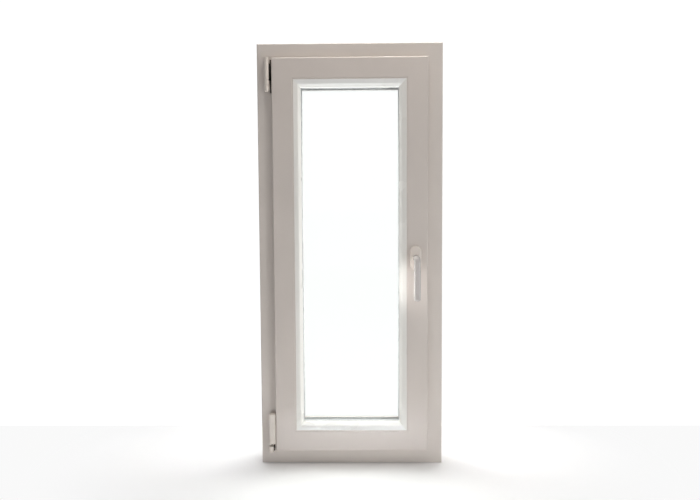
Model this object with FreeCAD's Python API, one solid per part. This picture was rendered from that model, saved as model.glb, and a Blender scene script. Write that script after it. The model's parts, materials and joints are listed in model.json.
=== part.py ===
import FreeCAD, Part
import math
import os

os.makedirs("parts", exist_ok=True)
V = FreeCAD.Vector

# Inward-opening tilt-and-turn casement window with a hollow plastic frame and sash.
# X runs across the window to the right as seen from the room, Y points outdoors and Z up.
# The origin is the middle of the frame's bottom face. "inset" is how far a point lies
# inside the frame's outer edge, on whichever side of the window it is.

# ---- driving dimensions, mm ----
WIDTH = 500.0
HEIGHT = 1150.0
FRAME_DEPTH = 70.0
FRAME_VISIBLE = 41.0
SASH_OVERLAP = 8.0
REBATE_AIR = 12.0
OUTER_LIP = 20.0
OUTER_LIP_DEPTH = 17.0
SASH_DEPTH = 70.0
SASH_PROUD = 20.0
SASH_LIP_DEPTH = 17.0
SASH_FACE = 57.5
BEAD_WIDTH = 18.5
WALL = 2.8
WEB = 1.4
STEEL_WALL = 1.5
STEEL_PLAY = 0.4
PANE = 4.0
PANE_GAP = 16.0
GASKET = 3.0
SOFT_GAP = 0.3
RUNNING = 0.05
GLASS_COVER = 13.0
HANDLE_HEIGHT = 573.0
TILT_AXIS_HEIGHT = 46.0
HINGE_INSET = 28.5
HINGE_PROUD = 18.0
GEAR_MODULE = 1.0
GEAR_TEETH = 16
HANDLE_ANGLE = 180.0
ANCHOR_RADIUS = 3.1
ANCHOR_SPACING = 750.0
GROOVE_SETBACK = 13.0
LIP_SIDE_AIR = 4.0
GEARBOX_BELOW = 46.0
GEARBOX_ABOVE = 62.0
RACK_BACK = 2.0
BEAD_STEP_WIDTH = 3.0
BEAD_STEP_DEPTH = 1.4
REAR_CHAMBER = 18.0
LEVER_WIDTH = 18.4
LEVER_DROP = 111.5
LEVER_PROJECTION = 52.0
LEVER_THICK = 12.0
ROSETTE_WIDTH = 31.0
ROSETTE_HEIGHT = 66.5
ROSETTE_THICK = 11.0
SPINDLE = 7.0
CAM_RADIUS = 3.5
CAM_HEIGHT = 6.6
STAY_REACH = 262.0

# ---- sizes that follow ----
HALF = WIDTH / 2
ROOM = -FRAME_DEPTH / 2
OUTDOORS = FRAME_DEPTH / 2
REBATE = FRAME_VISIBLE + SASH_OVERLAP
FRAME_EDGE = REBATE + OUTER_LIP
LIP_FACE = OUTDOORS - OUTER_LIP_DEPTH
SEAL_FACE = LIP_FACE - GASKET
SASH_EDGE = FRAME_VISIBLE
SASH_BODY = REBATE + REBATE_AIR
SASH_ROOM = ROOM - SASH_PROUD
SASH_OUT = SASH_ROOM + SASH_DEPTH
REAR_WEB = SASH_OUT - REAR_CHAMBER
LIP_BACK = SASH_ROOM + SASH_LIP_DEPTH
GLASS_SEAT = SASH_EDGE + SASH_FACE
SASH_END = GLASS_SEAT + BEAD_WIDTH
OUT_LIP_IN = SASH_OUT - 12.0
PANE_OUT_Y = OUT_LIP_IN - GASKET
GLASS_ROOM = PANE_OUT_Y - 2 * PANE - PANE_GAP
BEAD_FOOT = GLASS_ROOM - GASKET
GLASS_EDGE = SASH_END - GLASS_COVER
GROOVE_Y = LIP_BACK + GROOVE_SETBACK
GROOVE_WIDTH = 12.0
GROOVE_DEPTH = 11.0
PLATE_WIDTH = 16.0
PLATE_THICK = 2.0
PLATE_PROUD = 1.4
PLATE_OUT = SASH_BODY - PLATE_PROUD
PLATE_IN = PLATE_OUT + PLATE_THICK
ROD_OUT = PLATE_IN + 0.2
ROD_THICK = 1.5
ROD_WIDTH = 8.0
ROD_IN = ROD_OUT + ROD_THICK
RACK_TIP = 0.7 * GEAR_MODULE
PINION_TIP = 0.8 * GEAR_MODULE
TOOTH_ROOT = 0.25 * GEAR_MODULE
RACK_PITCH = ROD_IN + RACK_BACK + PINION_TIP + TOOTH_ROOT
GEAR_RADIUS = GEAR_MODULE * GEAR_TEETH / 2
SPINDLE_INSET = RACK_PITCH + GEAR_RADIUS
SPINDLE_X = HALF - SPINDLE_INSET
TRAVEL = GEAR_RADIUS * math.radians(HANDLE_ANGLE)
GEARBOX_DEPTH = 22.0
GEARBOX_END = SPINDLE_INSET + GEAR_RADIUS + PINION_TIP + 2.0
STEEL_START = GEARBOX_END + 1.5
HINGE_X = -HALF + HINGE_INSET
HINGE_Y = ROOM - HINGE_PROUD
SASH_TOP = HEIGHT - SASH_EDGE
BODY_TOP = HEIGHT - SASH_BODY
SIDES = ("bottom", "top", "left", "right")


def box(x0, x1, y0, y1, z0, z1):
    """A block between two corners."""
    return Part.makeBox(x1 - x0, y1 - y0, z1 - z0, V(x0, y0, z0))


def rod(radius, start, end):
    """A cylinder from one point to another."""
    way = V(*end) - V(*start)
    return Part.makeCylinder(radius, way.Length, V(*start), way)


def joined(first, *rest):
    """Several solids fused into one, with the seams removed."""
    return first.fuse(list(rest)).removeSplitter()


def point_at(side, along, inset, y):
    """A point on one side of the window: along the side, in from the outer edge, at a depth."""
    if side == "bottom":
        return V(along, y, inset)
    if side == "top":
        return V(along, y, HEIGHT - inset)
    if side == "left":
        return V(-HALF + inset, y, along)
    return V(HALF - inset, y, along)


def side_box(side, along0, along1, inset0, inset1, y0, y1):
    """A block on one side of the window, given along the side, by inset and by depth."""
    a = point_at(side, along0, inset0, y0)
    b = point_at(side, along1, inset1, y1)
    low = [min(p, q) for p, q in zip(a, b)]
    high = [max(p, q) for p, q in zip(a, b)]
    return box(low[0], high[0], low[1], high[1], low[2], high[2])


def side_ends(side):
    """Where a side of the window starts and ends, measured along it."""
    if side in ("bottom", "top"):
        return -HALF, HALF
    return 0.0, HEIGHT


def outline(side, along, points):
    """A closed wire through (inset, y, corner radius) points; a radius rounds that corner."""
    count = len(points)
    starts = []
    ends = []
    edges = []
    for i in range(count):
        here = V(points[i][0], points[i][1], 0)
        before = V(points[i - 1][0], points[i - 1][1], 0) - here
        after = V(points[(i + 1) % count][0], points[(i + 1) % count][1], 0) - here
        radius = points[i][2]
        if not radius:
            starts.append(here)
            ends.append(here)
            continue
        half_turn = before.getAngle(after) / 2
        back = radius / math.tan(half_turn)
        before.normalize()
        after.normalize()
        middle = before + after
        middle.normalize()
        centre = here + middle * (radius / math.sin(half_turn))
        starts.append(here + before * back)
        ends.append(here + after * back)
        crest = centre - middle * radius
        arc = [point_at(side, along, p.x, p.y) for p in (starts[i], crest, ends[i])]
        edges.append((i, Part.Arc(*arc).toShape()))
    arcs = dict(edges)
    wire = []
    for i in range(count):
        if i in arcs:
            wire.append(arcs[i])
        a = point_at(side, along, ends[i].x, ends[i].y)
        b = point_at(side, along, starts[(i + 1) % count].x, starts[(i + 1) % count].y)
        wire.append(Part.LineSegment(a, b).toShape())
    return Part.Wire(Part.__sortEdges__(wire))


def profile(side, points, start=None, end=None):
    """A straight length with the given cross-section."""
    low, high = side_ends(side)
    start = low if start is None else start
    end = high if end is None else end
    way = point_at(side, end, 0, 0) - point_at(side, start, 0, 0)
    return Part.Face(outline(side, start, points)).extrude(way)


def mitre(side, solid):
    """Cuts both ends of a length at forty-five degrees, along the lines out of the frame's corners."""
    low, high = side_ends(side)
    reach = min(WIDTH, HEIGHT) / 2 - 1.0
    deep = 4 * FRAME_DEPTH
    corners = [(low, 0.0), (high, 0.0), (high - reach, reach), (low + reach, reach)]
    ring = [point_at(side, along, inset, -deep / 2) for along, inset in corners]
    wedge = Part.Face(Part.makePolygon(ring + ring[:1])).extrude(V(0, deep, 0))
    return solid.common(wedge)


def rectangle(inset0, inset1, y0, y1, radius=0.0):
    """Cross-section points of a rectangle."""
    return [(inset0, y0, radius), (inset1, y0, radius), (inset1, y1, radius), (inset0, y1, radius)]


def hollow(side, outer, chambers):
    """A mitred length with long chambers in it."""
    solid = profile(side, outer)
    for chamber in chambers:
        solid = solid.cut(profile(side, chamber))
    return mitre(side, solid)


def ring_of_strips(inset0, inset1, y0, y1):
    """Four mitred strips round the window, each a solid of its own."""
    return [mitre(side, profile(side, rectangle(inset0, inset1, y0, y1))) for side in SIDES]


def screw(head, point, head_radius=4.0, shank_radius=2.0):
    """A countersunk screw from its head's face to its point; the head is a short cone."""
    way = V(*point) - V(*head)
    depth = head_radius - shank_radius
    cone = Part.makeCone(head_radius, shank_radius, depth, V(*head), way)
    return joined(cone, Part.makeCylinder(shank_radius, way.Length, V(*head), way))


def save(name, *solids):
    """Writes one node; several solids go in as a group."""
    shape = solids[0] if len(solids) == 1 else Part.makeCompound(list(solids))
    if not shape.isValid() or any(s.Volume < 1e-3 for s in shape.Solids):
        raise ValueError("bad solid in " + name)
    shape.exportStep("parts/" + name + ".step")


# ---- where the hardware sits along each side ----
SIDE_CAMS = (HEIGHT * 0.25, HEIGHT * 0.74)
ROD_MARGIN = 46.0
TOP_CAM = HALF - SASH_BODY - ROD_MARGIN - TRAVEL - 12.0
BOTTOM_CAM = TOP_CAM
ANCHORS = (HEIGHT / 2 - ANCHOR_SPACING / 2, HEIGHT / 2 + ANCHOR_SPACING / 2)
STRIKER_HALF = 26.0
STRIKER_BASE = 2.2
STRIKER_WALL = 3.0
STRIKER_RISE = 7.6
CAM_CLEAR = 1.8
SCREW_HEAD = 3.4
STRAP_THICK = 2.4
SEAL_INSET = 2.5
STRAP_LOW = 62.0
STRAP_HIGH = 142.0
STAY_LOW = 1052.0 - 1150.0 + HEIGHT
STAY_HIGH = HEIGHT - REBATE - 5.0
BARREL_LOW = HEIGHT - 114.0
BARREL_HIGH = SASH_TOP
PIN_RADIUS = 3.0


def frame_members():
    """The four hollow lengths of the outer frame, with screw, anchor and drain holes."""
    outer = [
        (0.0, ROOM, 2.5),
        (REBATE, ROOM, 2.0),
        (REBATE, LIP_FACE, 0.0),
        (FRAME_EDGE, LIP_FACE, 1.0),
        (FRAME_EDGE, OUTDOORS, 2.0),
        (0.0, OUTDOORS, 2.0),
    ]
    middle = FRAME_DEPTH * 0.2
    steel_in = REBATE - WALL
    chambers = [
        rectangle(WALL, steel_in, -middle, middle),
        rectangle(WALL, steel_in, ROOM + WALL, -middle - WEB),
        rectangle(WALL, steel_in, middle + WEB, OUTDOORS - WALL),
        rectangle(REBATE - WALL + WEB, FRAME_EDGE - WALL, LIP_FACE + WALL, OUTDOORS - WALL),
    ]
    members = {side: hollow(side, outer, chambers) for side in SIDES}
    steels = {}
    for side in SIDES:
        low, high = side_ends(side)
        back = FRAME_EDGE + 10.0
        tube = profile(
            side,
            rectangle(WALL + STEEL_PLAY, steel_in - STEEL_PLAY, -middle + STEEL_PLAY, middle - STEEL_PLAY),
            low + back,
            high - back,
        )
        inside = WALL + STEEL_PLAY + STEEL_WALL
        core = rectangle(
            inside,
            REBATE - inside,
            -middle + STEEL_PLAY + STEEL_WALL,
            middle - STEEL_PLAY - STEEL_WALL,
        )
        steels[side] = tube.cut(profile(side, core))
    for side in ("left", "right"):
        for height in ANCHORS:
            start = point_at(side, height, -1.0, 0)
            end = point_at(side, height, FRAME_EDGE, 0)
            hole = rod(ANCHOR_RADIUS, start, end)
            members[side] = members[side].cut(hole)
            steels[side] = steels[side].cut(hole)
    return members, steels


def sash_members():
    """The four hollow lengths of the sash, grooved for the locking gear."""
    step = GLASS_SEAT - BEAD_STEP_WIDTH
    outer = [
        (SASH_EDGE, SASH_ROOM, 3.5),
        (step, SASH_ROOM, 0.8),
        (step, SASH_ROOM + BEAD_STEP_DEPTH, 0.4),
        (GLASS_SEAT, SASH_ROOM + BEAD_STEP_DEPTH, 0.0),
        (GLASS_SEAT, OUT_LIP_IN, 0.0),
        (SASH_END, OUT_LIP_IN, 1.0),
        (SASH_END, SASH_OUT, 2.0),
    ]
    # a sash deeper than the rebate is stepped back round the frame's outer lip
    rear_start = SASH_BODY
    if SASH_OUT > SEAL_FACE:
        rear_start = FRAME_EDGE + LIP_SIDE_AIR
        outer += [(rear_start, SASH_OUT, 1.0), (rear_start, SEAL_FACE, 0.0), (SASH_BODY, SEAL_FACE, 1.0)]
    else:
        outer += [(SASH_BODY, SASH_OUT, 1.0)]
    outer += [(SASH_BODY, LIP_BACK, 0.0), (SASH_EDGE, LIP_BACK, 1.0)]
    groove_low = GROOVE_Y - GROOVE_WIDTH / 2
    groove_high = GROOVE_Y + GROOVE_WIDTH / 2
    chambers = [
        rectangle(SASH_EDGE + WALL, SASH_BODY - WEB, SASH_ROOM + WALL, LIP_BACK - WALL),
        rectangle(SASH_BODY, GLASS_SEAT - WALL, SASH_ROOM + WALL, LIP_BACK - WALL),
        rectangle(STEEL_START, GLASS_SEAT - WALL, LIP_BACK, REAR_WEB),
        rectangle(rear_start + WALL, GLASS_SEAT - WALL, REAR_WEB + WEB, SASH_OUT - WALL),
        rectangle(
            SASH_BODY + WALL,
            STEEL_START - WEB,
            GROOVE_Y + GEARBOX_DEPTH / 2 + WEB,
            REAR_WEB - WEB,
        ),
        rectangle(GLASS_SEAT, SASH_END - WALL, OUT_LIP_IN + WALL, SASH_OUT - WALL),
        rectangle(SASH_BODY - 1, SASH_BODY + GROOVE_DEPTH, groove_low, groove_high),
        rectangle(SASH_BODY - 1, PLATE_IN, GROOVE_Y - PLATE_WIDTH / 2, GROOVE_Y + PLATE_WIDTH / 2),
    ]
    members = {side: hollow(side, outer, chambers) for side in SIDES}
    steels = {}
    for side in SIDES:
        low, high = side_ends(side)
        back = SASH_END + 8.0
        play = STEEL_PLAY
        shell = rectangle(STEEL_START + play, GLASS_SEAT - WALL - play, LIP_BACK + play, REAR_WEB - play)
        inner = play + STEEL_WALL
        core = rectangle(STEEL_START + inner, GLASS_SEAT - WALL - inner, LIP_BACK + inner, REAR_WEB - inner)
        tube = profile(side, shell, low + back, high - back)
        steels[side] = tube.cut(profile(side, core))
    return members, steels


def pinion_outline():
    """Corner points of the pinion's teeth as (across, up), with one tooth pointing at the rack."""
    pressure = math.radians(20.0)
    base = GEAR_RADIUS * math.cos(pressure)
    root = GEAR_RADIUS - RACK_TIP - TOOTH_ROOT
    tip = GEAR_RADIUS + PINION_TIP
    half_tooth = math.pi / 2 / GEAR_TEETH - 0.10 / GEAR_RADIUS
    steps = 5
    flank = []
    for i in range(steps + 1):
        radius = max(base, root) + (tip - max(base, root)) * i / steps
        angle = math.acos(min(1.0, base / radius))
        flank.append((radius, half_tooth + math.tan(pressure) - pressure - math.tan(angle) + angle))
    flank = [(root, flank[0][1])] + [f for f in flank if f[0] > root + 1e-6]
    points = []
    for tooth in range(GEAR_TEETH):
        centre = 2 * math.pi * tooth / GEAR_TEETH
        for radius, spread in flank:
            points.append((radius * math.cos(centre - spread), radius * math.sin(centre - spread)))
        for radius, spread in reversed(flank):
            points.append((radius * math.cos(centre + spread), radius * math.sin(centre + spread)))
    return points


def gear_solid(y0, y1):
    """The pinion's toothed ring between two depths, about the spindle."""
    ring = [V(SPINDLE_X + a, y0, HANDLE_HEIGHT + b) for a, b in pinion_outline()]
    return Part.Face(Part.makePolygon(ring + ring[:1])).extrude(V(0, y1 - y0, 0))


def rack_teeth(y0, y1):
    """The side rod's rack: a bar with straight-sided teeth; a gap faces the pinion's tooth at rest."""
    pitch = math.pi * GEAR_MODULE
    slope = math.tan(math.radians(20.0))
    half = pitch / 4 - 0.10
    root = ROD_IN + RACK_BACK
    low_half = half + (RACK_PITCH - root) * slope
    high_half = half - RACK_TIP * slope
    count_up = int((TRAVEL + GEAR_RADIUS) / pitch) + 1
    bar_low = HANDLE_HEIGHT - 2 * pitch
    bar_high = HANDLE_HEIGHT + count_up * pitch
    teeth = [side_box("right", bar_low, bar_high, ROD_IN, root, y0, y1)]
    for i in range(-2, count_up):
        centre = HANDLE_HEIGHT + (i + 0.5) * pitch
        root_x = HALF - root + 0.3
        tip_x = HALF - RACK_PITCH - RACK_TIP
        ring = [
            V(root_x, y0, centre - low_half),
            V(tip_x, y0, centre - high_half),
            V(tip_x, y0, centre + high_half),
            V(root_x, y0, centre + low_half),
        ]
        teeth.append(Part.Face(Part.makePolygon(ring + ring[:1])).extrude(V(0, y1 - y0, 0)))
    return teeth


def cam(side, along):
    """A mushroom-headed locking cam that stands on a drive rod and sticks out of its faceplate."""
    base = point_at(side, along, ROD_OUT, GROOVE_Y)
    neck = point_at(side, along, PLATE_OUT - CAM_HEIGHT + 2.0, GROOVE_Y)
    top = point_at(side, along, PLATE_OUT - CAM_HEIGHT, GROOVE_Y)
    stem = rod(CAM_RADIUS - 1.0, base, neck)
    return joined(stem, rod(CAM_RADIUS, neck, top))


def rod_slot(side, along, toward):
    """The slot in a faceplate that a cam's stem slides along; toward is the way it travels."""
    reach = CAM_RADIUS - 1.0 + 0.4
    low = min(along, along + toward * TRAVEL) - reach
    high = max(along, along + toward * TRAVEL) + reach
    return side_box(side, low, high, PLATE_OUT - 1, PLATE_IN + 1, GROOVE_Y - reach, GROOVE_Y + reach)


def striker(side, along, away):
    """A striker on the frame's rebate face: a base plate and a wall just past the resting cam."""
    y0 = GROOVE_Y - 8.0
    low = along - STRIKER_HALF
    high = along + STRIKER_HALF
    base = side_box(side, low, high, REBATE, REBATE + STRIKER_BASE, y0, GROOVE_Y + 9.0)
    mouth = along + away * (CAM_RADIUS + CAM_CLEAR)
    end = along + away * (STRIKER_HALF - 9.0)
    wall = side_box(
        side,
        min(mouth, end),
        max(mouth, end),
        REBATE,
        REBATE + STRIKER_RISE,
        y0,
        y0 + STRIKER_WALL,
    )
    plate = joined(base, wall)
    screws = []
    for shift in (-STRIKER_HALF + 4.5, STRIKER_HALF - 4.5):
        head = point_at(side, along + shift, REBATE + STRIKER_BASE, GROOVE_Y)
        tip = point_at(side, along + shift, REBATE - 16.0, GROOVE_Y)
        screws.append(screw(head, tip, SCREW_HEAD, 1.8))
    return plate, screws


def oval(width, height, y0, y1, x=None, z=None):
    """A flat oval with round ends, upright, about the spindle unless another centre is given."""
    x = SPINDLE_X if x is None else x
    z = HANDLE_HEIGHT if z is None else z
    radius = width / 2
    straight = height / 2 - radius
    middle = box(x - radius, x + radius, y0, y1, z - straight, z + straight)
    ends = [rod(radius, (x, y0, z + s), (x, y1, z + s)) for s in (-straight, straight)]
    return joined(middle, *ends)


# ---- frame ----
frame, frame_steels = frame_members()
sash, sash_steels = sash_members()

strikers = {
    "side": [striker("right", z, 1.0) for z in SIDE_CAMS],
    "top": [striker("top", TOP_CAM, -1.0)],
    "bottom": [striker("bottom", BOTTOM_CAM, 1.0)],
}
striker_screws = []
for group, side in (("side", "right"), ("top", "top"), ("bottom", "bottom")):
    for i, (plate, screws) in enumerate(strikers[group]):
        for item in screws:
            plate = plate.cut(item)
            frame[side] = frame[side].cut(item)
            frame_steels[side] = frame_steels[side].cut(item)
            striker_screws.append(item)
        strikers[group][i] = plate

# ---- top hinge: bearing on the frame, pin, stay arm ----
bearing_plate = box(HINGE_X - 8.5, HINGE_X + 3.5, ROOM - 2.5, ROOM, BARREL_LOW + 1, BARREL_HIGH - 1)
KNUCKLE = 4.6
COVER_RADIUS = 5.9
KNUCKLE_LOW_TOP = STAY_LOW - 2.0
KNUCKLE_HIGH_LOW = STAY_HIGH + 0.3
knuckles = []
for z0, z1 in ((BARREL_LOW + 0.3, KNUCKLE_LOW_TOP), (KNUCKLE_HIGH_LOW, BARREL_HIGH)):
    web = box(HINGE_X - COVER_RADIUS, HINGE_X, HINGE_Y, ROOM - 2.5, z0 + 0.2, z1 - 0.2)
    knuckles.append(web)
    knuckles.append(rod(COVER_RADIUS, (HINGE_X, HINGE_Y, z0), (HINGE_X, HINGE_Y, z1)))
stay_bearing = joined(bearing_plate, *knuckles)
stay_bearing = stay_bearing.cut(
    rod(PIN_RADIUS, (HINGE_X, HINGE_Y, BARREL_LOW - 20), (HINGE_X, HINGE_Y, BARREL_HIGH - 3))
)
PIN_BOTTOM = BARREL_LOW - 14.0
hinge_pin = rod(PIN_RADIUS, (HINGE_X, HINGE_Y, PIN_BOTTOM), (HINGE_X, HINGE_Y, BARREL_HIGH - 3))
PIN_CAP_LOW = BARREL_LOW - 17.3
pin_cap = rod(COVER_RADIUS, (HINGE_X, HINGE_Y, PIN_CAP_LOW), (HINGE_X, HINGE_Y, BARREL_LOW - 0.3))
pin_cap = pin_cap.cut(rod(PIN_RADIUS, (HINGE_X, HINGE_Y, PIN_BOTTOM), (HINGE_X, HINGE_Y, BARREL_LOW)))
pin_cap = pin_cap.makeFillet(3.0, [e for e in pin_cap.Edges if abs(e.BoundBox.ZMax - pin_cap.BoundBox.ZMin) < 1e-6])
bearing_screws = []
for z in (BARREL_LOW + 22.0, BARREL_HIGH - 22.0):
    item = screw((HINGE_X - 4.5, ROOM - 2.5, z), (HINGE_X - 4.5, ROOM + 14.0, z), 3.6, 1.8)
    stay_bearing = stay_bearing.cut(item)
    frame["left"] = frame["left"].cut(item)
    bearing_screws.append(item)

ARM_THICK = 3.0
ARM_WIDTH = 16.0
ARM_LOW = BODY_TOP + 3.6
ARM_HIGH = ARM_LOW + ARM_THICK
SLIT_FRONT = LIP_BACK + SOFT_GAP
SLIT_BACK = SLIT_FRONT + STRAP_THICK
arm_knuckle = rod(KNUCKLE, (HINGE_X, HINGE_Y, STAY_LOW - 1.7), (HINGE_X, HINGE_Y, STAY_HIGH))
SLIT_X = HINGE_X + 8.0
LEG_END = HINGE_X + 26.0
arm_leg_points = [
    (HINGE_X + 1.6, HINGE_Y + 3.6),
    (HINGE_X + 4.2, HINGE_Y + 1.6),
    (SLIT_X + 1.6, SLIT_FRONT),
    (LEG_END, SLIT_FRONT),
    (LEG_END, SLIT_BACK),
    (SLIT_X - 1.2, SLIT_BACK),
]
ring = [V(x, y, STAY_LOW) for x, y in arm_leg_points]
arm_leg = Part.Face(Part.makePolygon(ring + ring[:1])).extrude(V(0, 0, ARM_HIGH - STAY_LOW))
# a flat shield along the whole hinge closes the gap beside the sash's lip, short of its seal
arm_shield = box(
    HINGE_X + 7.0, -HALF + SASH_EDGE + SEAL_INSET - 0.3, SLIT_FRONT, SLIT_BACK, PIN_CAP_LOW, SASH_TOP - 2.0
)
arm_y0 = GROOVE_Y - ARM_WIDTH / 2
arm_y1 = GROOVE_Y + ARM_WIDTH / 2
arm_root = -HALF + REBATE + 1.5
arm_end = HINGE_X + STAY_REACH
arm_bar = box(arm_root, arm_end, arm_y0, arm_y1, ARM_LOW, ARM_HIGH)
arm_tie = box(arm_root, LEG_END + 8.0, SLIT_FRONT, arm_y0, ARM_LOW, ARM_HIGH)
arm_tip = rod(ARM_WIDTH / 2, (arm_end, GROOVE_Y, ARM_LOW), (arm_end, GROOVE_Y, ARM_HIGH))
PIVOT_PIN = 3.0
end_hole = rod(PIVOT_PIN, (arm_end, GROOVE_Y, ARM_LOW), (arm_end, GROOVE_Y, ARM_HIGH))
pin_bore = rod(
    PIN_RADIUS + RUNNING, (HINGE_X, HINGE_Y, STAY_LOW - 5), (HINGE_X, HINGE_Y, STAY_HIGH + 5)
)
stay_arm = joined(arm_knuckle, arm_leg, arm_shield, arm_bar, arm_tie, arm_tip).cut(pin_bore).cut(end_hole)
stay_rivet = rod(PIVOT_PIN, (arm_end, GROOVE_Y, ARM_LOW - 1.6), (arm_end, GROOVE_Y, ARM_HIGH))
stay_rivet = joined(
    stay_rivet, rod(PIVOT_PIN + 2.0, (arm_end, GROOVE_Y, ARM_HIGH), (arm_end, GROOVE_Y, ARM_HIGH + 1.4))
)
arm_cover = rod(COVER_RADIUS, (HINGE_X, HINGE_Y, STAY_LOW - 1.7), (HINGE_X, HINGE_Y, STAY_HIGH))
arm_cover = arm_cover.cut(rod(KNUCKLE, (HINGE_X, HINGE_Y, STAY_LOW - 5), (HINGE_X, HINGE_Y, STAY_HIGH + 5)))
arm_cover = arm_cover.cut(arm_leg)

# ---- bottom hinge: bearing on the frame, pivot, strap on the sash ----
CAP_RADIUS = 7.0
CAP_LOW = 38.0
CAP_HIGH = 54.0
SHELF_HIGH = CAP_LOW + 3.8
PIVOT_RADIUS = 5.2
POST_HIGH = CAP_HIGH - 3.0
corner_plate = box(HINGE_X - 6.0, HINGE_X + 6.0, ROOM - 2.5, ROOM, CAP_LOW, CAP_HIGH + 5.0)
corner_shelf = joined(
    box(HINGE_X - 6.0, HINGE_X + 6.0, HINGE_Y, ROOM - 2.5, CAP_LOW, SHELF_HIGH),
    rod(CAP_RADIUS, (HINGE_X, HINGE_Y, CAP_LOW), (HINGE_X, HINGE_Y, SHELF_HIGH)),
)
corner_post = rod(PIN_RADIUS, (HINGE_X, HINGE_Y, CAP_LOW + 1), (HINGE_X, HINGE_Y, POST_HIGH))
corner_bearing = joined(corner_plate, corner_shelf, corner_post)
corner_screws = []
for z in (CAP_HIGH - 8.0, CAP_HIGH):
    item = screw((HINGE_X, ROOM - 2.5, z), (HINGE_X, ROOM + 14.0, z), SCREW_HEAD, 1.8)
    corner_bearing = corner_bearing.cut(item)
    frame["left"] = frame["left"].cut(item)
    corner_screws.append(item)

TRUNNION = 2.4
LEAF_X = HINGE_X + CAP_RADIUS + 0.5
pivot = rod(PIVOT_RADIUS, (HINGE_X, HINGE_Y, SHELF_HIGH + 0.2), (HINGE_X, HINGE_Y, CAP_HIGH - 1.2))
stub = rod(TRUNNION, (HINGE_X + 3.4, HINGE_Y, TILT_AXIS_HEIGHT), (LEAF_X + STRAP_THICK, HINGE_Y, TILT_AXIS_HEIGHT))
post_bore = rod(PIN_RADIUS + RUNNING, (HINGE_X, HINGE_Y, CAP_LOW), (HINGE_X, HINGE_Y, POST_HIGH + 0.2))
corner_pivot = joined(pivot, stub).cut(post_bore)
pivot_cap = rod(CAP_RADIUS, (HINGE_X, HINGE_Y, SHELF_HIGH + 0.2), (HINGE_X, HINGE_Y, CAP_HIGH))
pivot_cap = pivot_cap.cut(pivot).cut(stub)
pivot_cap = pivot_cap.cut(post_bore)
pivot_cap = pivot_cap.makeFillet(
    1.5, [e for e in pivot_cap.Edges if e.BoundBox.ZMin > CAP_HIGH - 1e-3 and e.Length > 30]
)

leaf = box(LEAF_X, LEAF_X + STRAP_THICK, HINGE_Y - 4.5, SLIT_BACK, STRAP_LOW, STRAP_HIGH)
foot = box(LEAF_X, LEAF_X + STRAP_THICK, HINGE_Y - 4.5, HINGE_Y + 4.5, TILT_AXIS_HEIGHT, STRAP_LOW + 1)
foot_round = rod(4.5, (LEAF_X, HINGE_Y, TILT_AXIS_HEIGHT), (LEAF_X + STRAP_THICK, HINGE_Y, TILT_AXIS_HEIGHT))
slit_plate = box(LEAF_X, -HALF + SASH_BODY, SLIT_FRONT, SLIT_BACK, STRAP_LOW, STRAP_HIGH)
flange = box(
    -HALF + SASH_BODY - STRAP_THICK,
    -HALF + SASH_BODY,
    SLIT_FRONT,
    GROOVE_Y + PLATE_WIDTH / 2,
    STRAP_LOW + 20.0,
    STRAP_HIGH,
)
corner_strap = joined(leaf, foot, foot_round, slit_plate, flange)
corner_strap = corner_strap.cut(
    rod(TRUNNION + RUNNING, (LEAF_X - 1, HINGE_Y, TILT_AXIS_HEIGHT), (LEAF_X + 4, HINGE_Y, TILT_AXIS_HEIGHT))
)
strap_screws = []
for z in (STRAP_LOW + 32.0, STRAP_HIGH - 12.0):
    head = (-HALF + SASH_BODY - STRAP_THICK, GROOVE_Y + 2.0, z)
    item = screw(head, (-HALF + SASH_BODY + 9.5, GROOVE_Y + 2.0, z), SCREW_HEAD, 1.8)
    corner_strap = corner_strap.cut(item)
    strap_screws.append(item)
COVER_BACK = LIP_BACK - 0.6
COVER_LEFT = HINGE_X - 5.2
strap_cover = box(
    COVER_LEFT, -HALF + SASH_EDGE - 0.4, HINGE_Y - 7.0, COVER_BACK, STRAP_LOW - 1.5, STRAP_HIGH + 2.0
)
strap_cover = strap_cover.makeFillet(
    5.0, [e for e in strap_cover.Edges if e.BoundBox.YMax < HINGE_Y - 6.9 and e.Length > 60]
)
strap_cover = strap_cover.cut(
    box(COVER_LEFT + 2.0, LEAF_X, HINGE_Y - 5.0, COVER_BACK + 1, STRAP_LOW + 0.5, STRAP_HIGH - 0.5)
)
strap_cover = strap_cover.cut(joined(leaf, foot, slit_plate))

# ---- locking gear in the sash ----
plate_low = SASH_BODY + ROD_MARGIN
case = side_box(
    "right",
    HANDLE_HEIGHT - GEARBOX_BELOW,
    HANDLE_HEIGHT + GEARBOX_ABOVE,
    ROD_IN + 2.0,
    GEARBOX_END,
    GROOVE_Y - GEARBOX_DEPTH / 2,
    GROOVE_Y + GEARBOX_DEPTH / 2,
)
sash["right"] = sash["right"].cut(case)
sash["right"] = sash["right"].cut(
    side_box(
        "right",
        HANDLE_HEIGHT - GEARBOX_BELOW,
        HANDLE_HEIGHT + GEARBOX_ABOVE,
        SASH_BODY - 1,
        ROD_IN + 3,
        GROOVE_Y - PLATE_WIDTH / 2,
        GROOVE_Y + PLATE_WIDTH / 2,
    )
)
GEAR_FACE = 8.0
cavity = rod(
    GEAR_RADIUS + PINION_TIP + 0.8,
    (SPINDLE_X, GROOVE_Y - GEAR_FACE / 2 - 0.4, HANDLE_HEIGHT),
    (SPINDLE_X, GROOVE_Y + GEAR_FACE / 2 + 0.4, HANDLE_HEIGHT),
)
HUB_RADIUS = SPINDLE / 2 * math.sqrt(2) + 1.0
hub_bore = rod(
    HUB_RADIUS + RUNNING, (SPINDLE_X, GROOVE_Y - 20, HANDLE_HEIGHT), (SPINDLE_X, GROOVE_Y + 20, HANDLE_HEIGHT)
)
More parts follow.
